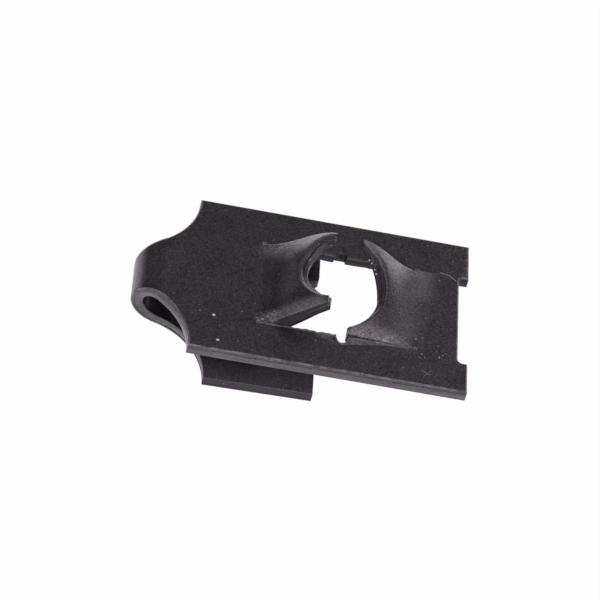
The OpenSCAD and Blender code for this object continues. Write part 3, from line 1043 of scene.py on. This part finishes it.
# Painted light on the short leg's shaded inner face joins the strokes here, after the cut at the slits.
rub_and_sheen = strongest([rub_and_sheen, stroke(*SHORT_LEG_PAINTED_LIGHT)])
speckled = add(tree, RANGE, [crystals, 0.0, 1.0, 0.4, 1.0])
rub_and_sheen = add(tree, MATH, [rub_and_sheen, speckled], operation="MULTIPLY")
coat = add(tree, MIX, {0: rub_and_sheen, 6: coat, 7: RUBBED_AND_SHEEN}, data_type="RGBA")
stained = stroke(*STAIN_MARK)
blots = add(tree, NOISE, {"Vector": here, "Scale": per_metre(STAIN_BLOT_MM), "Detail": 3.0})
blots = add(tree, RANGE, [blots, 0.42, 0.6])
stained = add(tree, MATH, [stained, blots], operation="MULTIPLY")
coat = add(tree, MIX, {0: stained, 6: coat, 7: STAIN}, data_type="RGBA")
torn_lines = strongest([stroke(*tear) for tear in TEARS])
coat = add(tree, MIX, {0: torn_lines, 6: coat, 7: GROOVE}, data_type="RGBA")
print("marks in the coat:", len(tree.nodes), "nodes")

# %% [markdown]
# Lint, dust, hair scratches and the sparks of bared crystals are all pale and lie over everything
# else, so they are kept as shares for the last mix. The sparks are partly bared crystals and partly
# painted glints in the lit places by the tongues' roots. Dust is a cell pattern with some of its cells
# left out. Its grains are drawn coarser than real dust, which would be too fine to show here.

# %% Lint, dust, and sparks with painted glints
LINT_STRENGTH = 2.0
LINT_LENGTH_MM = Vector((0.02, 0, 0))
DUST_SPACING_MM = 0.28

lint = strongest([
    stroke(place, Vector(place) + LINT_LENGTH_MM, reach_mm, LINT_STRENGTH) for place, reach_mm in LINT
])
hairs = strongest([stroke(*hair) for hair in HAIRS])
dust_cells = add(tree, VORONOI, {"Vector": here, "Scale": per_metre(DUST_SPACING_MM)})
dusty = add(tree, "ShaderNodeSeparateColor", [dust_cells.outputs["Color"]])
dusty = add(tree, RANGE, [dusty, 0.3, 0.75])
dust = add(tree, RANGE, [dust_cells, 0.34, 0.14])
dust = add(tree, MATH, [dust, dusty], operation="MULTIPLY")
dust = add(tree, MATH, [dust, strongest([stroke(*drift) for drift in DUST])], operation="MULTIPLY")
sparks = strongest([stroke(*spark) for spark in SPARKS])
bright_crystals = add(tree, RANGE, [crystals, 0.72, 0.92])
sparks = add(tree, MATH, [sparks, bright_crystals], operation="MULTIPLY")
sparks = add(tree, MATH, [sparks, inside_slits], operation="MULTIPLY")
print("dust of", DUST_SPACING_MM, "mm in", len(DUST), "drifts")

# %% [markdown]
# The cut edges show smeared steel under a thin coat: greyer, with shear lines along the sheet. On the
# outer edges part of that grey is painted light, where they face the bright table. The forming tree
# stored each point's depth in the sheet, so that the colours follow the real section. The short leg's
# edge and the wall of the end notch are darkened with painted shade, as they lie in shade. The lanced
# edges are darker too, partly from their coat and partly as painted shade. The streaks are drawn a
# little wider than real ones, to show in the picture.

# %% Colour of the cut edges
SHEAR_STREAK_MM = 0.06
SHEAR_STREAK_LENGTH_MM = 2.0
SHORT_LEG_TOP_MM = (1.6, 1.2)
NECK_END_MM = (-11.5, -10.0)
NOTCH_MARGIN = 0.05
NOTCH_FLOOR_MM = LONG_LEG - END_NOTCH_DEPTH - SCREW_X - NOTCH_MARGIN
NOTCH_HALF_MM = END_NOTCH_HALF - END_NOTCH_SHIFT + NOTCH_MARGIN

below_top = add(tree, RANGE, [mask["depth"], 0.10, 0.17])
above_low = add(tree, RANGE, [mask["depth"], 0.98, 0.93])
cut = add(tree, MATH, [below_top, above_low], operation="MULTIPLY")
along_streaks = per_metre(SHEAR_STREAK_LENGTH_MM)
streak_place = add(tree, VECTOR, {0: here, "Scale": along_streaks}, operation="SCALE")
streak_depth = add(tree, MATH, [mask["depth"], SHEET / SHEAR_STREAK_MM], operation="MULTIPLY")
streaks = add(tree, NOISE, {
    "Vector": streak_place, "W": streak_depth, "Scale": 1.0, "Detail": 2.0,
}, noise_dimensions="4D")
streaks = add(tree, RANGE, [streaks, 0.3, 0.7])
pits = add(tree, RANGE, [grit, 0.25, 0.6, 0.45, 1.0])
streaks = add(tree, MATH, [streaks, pits], operation="MULTIPLY")
cut_colour = add(tree, MIX, {0: streaks, 6: CUT_DARK, 7: CUT_LIGHT}, data_type="RGBA")
# Painted shade on the short leg's cut edge, which lies under the long leg.
low_down = add(tree, RANGE, [height, *[z * METRES_PER_MM for z in SHORT_LEG_TOP_MM]])
past_neck = add(tree, RANGE, [along, *[x * METRES_PER_MM for x in NECK_END_MM]])
short_leg = add(tree, MATH, [low_down, past_neck], operation="MULTIPLY")
cut_colour = add(tree, MIX, {0: short_leg, 6: cut_colour, 7: SHADED_CUT}, data_type="RGBA")
# Painted shade on the wall of the end notch.
past_floor = add(tree, MATH, [along, NOTCH_FLOOR_MM * METRES_PER_MM], operation="GREATER_THAN")
end_notch_wall = add(tree, MATH, [off_middle, NOTCH_HALF_MM * METRES_PER_MM], operation="LESS_THAN")
end_notch_wall = add(tree, MATH, [end_notch_wall, past_floor], operation="MULTIPLY")
cut_colour = add(tree, MIX, {0: end_notch_wall, 6: cut_colour, 7: SHADED_CUT}, data_type="RGBA")
# Lanced edges: partly their coat, partly painted shade.
lanced_colour = add(tree, MIX, {0: streaks, 6: LANCED_DARK, 7: LANCED_LIGHT}, data_type="RGBA")
cut_colour = add(tree, MIX, {0: mask["lanced"], 6: cut_colour, 7: lanced_colour}, data_type="RGBA")
colour = add(tree, MIX, {0: cut, 6: coat, 7: cut_colour}, data_type="RGBA")
print("shear streaks of", SHEAR_STREAK_MM, "mm")

# %% [markdown]
# The points of the edge carry where the shear line lies and how worn the top corner is. The line is
# nearly black, which is painted shade in its fine groove. The corner is worn bright in patches, which
# also paints the highlight that the round corner catches. Both are faint on the short leg, which lies
# in the shade of the long one.

# %% Shear line with painted shade, worn corner with painted highlight
WORN_AND_HIGHLIT_PATCH_MM = 0.7

# Painted shade: the shear line and the finer ring line are drawn nearly black, as the shade in their
# fine groove. The same mask darkens the fold tongue's lip corner.
grooved = add(tree, RANGE, [mask["groove"], 0.1, 0.6, 0.0, 0.9])
clear_lines = add(tree, RANGE, [short_leg, 0.0, 1.0, 1.0, 0.25])
grooved = add(tree, MATH, [grooved, clear_lines], operation="MULTIPLY")
colour = add(tree, MIX, {0: grooved, 6: colour, 7: GROOVE}, data_type="RGBA")
# Worn, pale patches on the top corners: wear and a painted highlight along the rounded edge.
patches = add(tree, NOISE, {"Vector": here, "Scale": per_metre(WORN_AND_HIGHLIT_PATCH_MM), "Detail": 2.0})
patches = add(tree, RANGE, [patches, 0.35, 0.6, 0.2, 0.9])
worn_and_highlit = add(tree, MATH, [mask["worn_and_highlit"], patches], operation="MULTIPLY")
worn_and_highlit = add(tree, MATH, [worn_and_highlit, clear_lines], operation="MULTIPLY")
colour = add(tree, MIX, {0: worn_and_highlit, 6: colour, 7: WORN_AND_HIGHLIT}, data_type="RGBA")
print("worn patches of", WORN_AND_HIGHLIT_PATCH_MM, "mm")

# %% [markdown]
# A few pale specks of bare crystal lie all over the coat. They use the same cell pattern as the dust,
# with wider cells, because scattering real grains would take thousands of faces for the same dots.

# %% Specks
SPECK_SPACING_MM = 0.55

specks = add(tree, VORONOI, {"Vector": here, "Scale": per_metre(SPECK_SPACING_MM)})
chosen = add(tree, "ShaderNodeSeparateColor", [specks.outputs["Color"]])
chosen = add(tree, RANGE, [chosen, 0.62, 1.0, 0.0, 0.45])
specks = add(tree, RANGE, [specks, 0.14, 0.05])
specks = add(tree, MATH, [specks, chosen], operation="MULTIPLY")
pale = strongest([specks, lint, hairs, dust, sparks])
colour = add(tree, MIX, {0: pale, 6: colour, 7: SPECK}, data_type="RGBA")
print("specks about", SPECK_SPACING_MM, "mm apart")

# %% [markdown]
# A film of oil seals the coat. It is a second clear layer over the crystals, so the nut shines softly
# where it faces a lamp and stays near black elsewhere. The dull cut edges, the inside of the fold and
# the tear hold almost no oil. A fine bump breaks the shine into sparkles.

# %% Phosphated spring steel
GRAIN_DEPTH_MM = 0.02
INNER_FOLD_MM = (-12.2, -13.6)

rough = add(tree, RANGE, [grit, 0.2, 0.8, 0.24, 0.38])
sealed = add(tree, RANGE, [crystals, 0.0, 1.0, 0.05, 0.95])
dull_cuts = strongest([mask["lanced"], short_leg, end_notch_wall])
shear_dull = add(tree, MATH, [dull_cuts, cut], operation="MULTIPLY")
dry = add(tree, RANGE, [shear_dull, 0.0, 1.0, 1.0, 0.1])
inner_face = add(tree, RANGE, [mask["depth"], 0.9, 1.0])
in_fold = add(tree, RANGE, [along, *[x * METRES_PER_MM for x in INNER_FOLD_MM]])
in_fold = add(tree, MATH, [in_fold, inner_face], operation="MULTIPLY")
dry_fold = add(tree, RANGE, [in_fold, 0.0, 1.0, 1.0, 0.1])
dry_tears = add(tree, RANGE, [torn_lines, 0.0, 1.0, 1.0, 0.1])
dry_places = add(tree, MATH, [dry_fold, dry_tears], operation="MULTIPLY")
dry = add(tree, MATH, [dry, dry_places], operation="MULTIPLY")
sealed = add(tree, MATH, [sealed, dry], operation="MULTIPLY")
gleam = add(tree, RANGE, [grit, 0.3, 0.7, 0.2, 0.8])
cloudy = add(tree, RANGE, [mottle, 0.3, 0.7, 0.75, 1.25])
gleam = add(tree, MATH, [gleam, cloudy], operation="MULTIPLY")
dull = add(tree, RANGE, [shear_dull, 0.0, 1.0, 1.0, 0.3])
dull = add(tree, MATH, [dull, dry_places], operation="MULTIPLY")
gleam = add(tree, MATH, [gleam, dull], operation="MULTIPLY")
bump = add(tree, "ShaderNodeBump", {
    "Height": grit, "Strength": 0.7, "Distance": GRAIN_DEPTH_MM * METRES_PER_MM,
})
skin = add(tree, "ShaderNodeBsdfPrincipled", {
    "Base Color": colour,
    "Roughness": rough,
    "Normal": bump,
    "Specular IOR Level": gleam,
    "Specular Tint": SHEEN_TINT,
    "Coat Weight": sealed,
    "Coat Roughness": 0.26,
    "Coat Normal": bump,
})
add(tree, "ShaderNodeOutputMaterial", [skin])
print(steel.name, len(tree.nodes), "nodes")

# %% [markdown]
# The forming tree gets its sizes and is evaluated once. Its result becomes a plain mesh that stands
# for the CAD node. Weighted normals keep the wide faces flat and let only the round corners of the
# edges shade round. Smooth shading alone would make the flats look dented beside each edge.

# %% Form the nut
SHARP_ANGLE = math.radians(38)

press = bpy.data.objects.new("press", blank_mesh)
bpy.context.collection.objects.link(press)
forming = press.modifiers.new("press_form", "NODES")
forming.node_group = form
for name, identifier in form_ids.items():
    forming[identifier] = float(form_sizes[name])
forming[finish_id] = steel
depsgraph = bpy.context.evaluated_depsgraph_get()
nut_mesh = bpy.data.meshes.new_from_object(
    press.evaluated_get(depsgraph), preserve_all_data_layers=True, depsgraph=depsgraph
)
bpy.data.objects.remove(press)
nut = bpy.data.objects.new("formed_j_nut", nut_mesh)
bpy.context.collection.objects.link(nut)
nut_mesh.set_sharp_from_angle(angle=SHARP_ANGLE)
normals = nut.modifiers.new("weighted_normals", "WEIGHTED_NORMAL")
normals.keep_sharp = True
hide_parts(NODE)
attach(nut, "root")
print("formed nut:", len(nut_mesh.polygons), "faces")

# %% [markdown]
# The nut lies on white card, as in a product picture. Light Path tells the card what kind of ray looks
# at it: to the camera and in reflections it glows almost white, and for all other light it is plain
# card. A little of the card's own shade is left, so it still takes a soft shadow. More light on the
# card would make it white too, but it would also wash out the nut.

# %% Floor
FLOOR_HALF = 1.5
FLOOR_GLOW = 0.98
CARD = linear("#f4f4f4")
MIRRORED_TINT = linear("#fff6ff")
WHITE = linear("#ffffff")

floor_mesh = bpy.data.meshes.new("floor")
corner_signs = [(-1, -1), (1, -1), (1, 1), (-1, 1)]
floor_corners = [(FLOOR_HALF * x, FLOOR_HALF * y, 0) for x, y in corner_signs]
floor_mesh.from_pydata(floor_corners, [], [(0, 1, 2, 3)])
floor = bpy.data.objects.new("floor", floor_mesh)
bpy.context.collection.objects.link(floor)
paper = bpy.data.materials.new("white_card")
paper.use_nodes = True
tree = paper.node_tree
tree.nodes.clear()
ray = add(tree, "ShaderNodeLightPath").outputs
mirrored_rays = [ray["Is Glossy Ray"], ray["Is Transmission Ray"]]
mirrored_share = add(tree, MATH, mirrored_rays, operation="MAXIMUM")
camera_share = add(tree, MATH, [ray["Is Camera Ray"], FLOOR_GLOW], operation="MULTIPLY")
share = add(tree, MATH, [camera_share, mirrored_share], operation="MAXIMUM")
card = add(tree, "ShaderNodeBsdfDiffuse", {"Color": CARD})
glow_colour = add(tree, MIX, {
    0: ray["Is Camera Ray"], 6: MIRRORED_TINT, 7: WHITE,
}, data_type="RGBA")
glow = add(tree, "ShaderNodeEmission", [glow_colour])
card_or_glow = add(tree, "ShaderNodeMixShader", [share, card, glow])
add(tree, "ShaderNodeOutputMaterial", [card_or_glow])
floor_mesh.materials.append(paper)
print("floor half width", FLOOR_HALF, "m")

# %% [markdown]
# Dark metal shows what stands round it more than how much light falls on it. So the nut is lit by
# boxes with a soft, even face. One overhead and one in front give the tongues and the cut edges
# their shape, and weak ones at the left and right open the shade. A long, low card behind draws the
# line of light along the fold and the tongues, and a dim card overhead keeps the flat faces from going
# black. Each box is given by how bright its face looks, so its size can change without a new guess.

# %% World and lamps
AMBIENT = 0.08
LAMP_TINT = linear("#fff9ff")

world = bpy.data.worlds.new("studio")
bpy.context.scene.world = world
world.use_nodes = True
tree = world.node_tree
tree.nodes.clear()
sky = add(tree, "ShaderNodeBackground", {"Strength": AMBIENT})
add(tree, "ShaderNodeOutputWorld", [sky])

# Bearing and height are in degrees, from straight behind the nut towards its right and above the
# table. Distance and size are in metres.
SOFT_BOXES = {
    "ceiling_card": dict(bearing=0, height=66, distance=0.62, size=(1.20, 0.95), radiance=0.10),
    "overhead_soft_box": dict(bearing=55, height=68, distance=0.60, size=(0.42, 0.34), radiance=1.6),
    "right_soft_box": dict(bearing=62, height=30, distance=0.60, size=(0.50, 0.30), radiance=0.2),
    "back_card": dict(bearing=18, height=9, distance=0.60, size=(1.25, 0.20), radiance=2.5),
    "left_soft_box": dict(bearing=-84, height=32, distance=0.60, size=(0.34, 0.24), radiance=0.8),
    "front_soft_box": dict(bearing=184, height=28, distance=0.60, size=(1.20, 0.56), radiance=1.5),
}
for name, box in SOFT_BOXES.items():
    bearing = math.radians(box["bearing"])
    height = math.radians(box["height"])
    level = math.cos(height)
    way = Vector((math.sin(bearing) * level, math.cos(bearing) * level, math.sin(height)))
    lamp = bpy.data.lights.new(name, "AREA")
    lamp.shape = "RECTANGLE"
    lamp.color = LAMP_TINT[:3]
    lamp.size, lamp.size_y = box["size"]
    lamp.energy = box["radiance"] * math.pi * lamp.size * lamp.size_y
    holder = bpy.data.objects.new(name, lamp)
    bpy.context.collection.objects.link(holder)
    holder.location = way * box["distance"]
    holder.rotation_euler = (-way).to_track_quat("-Z", "Y").to_euler()
    print(f"{name}: {lamp.energy:.2f} W")
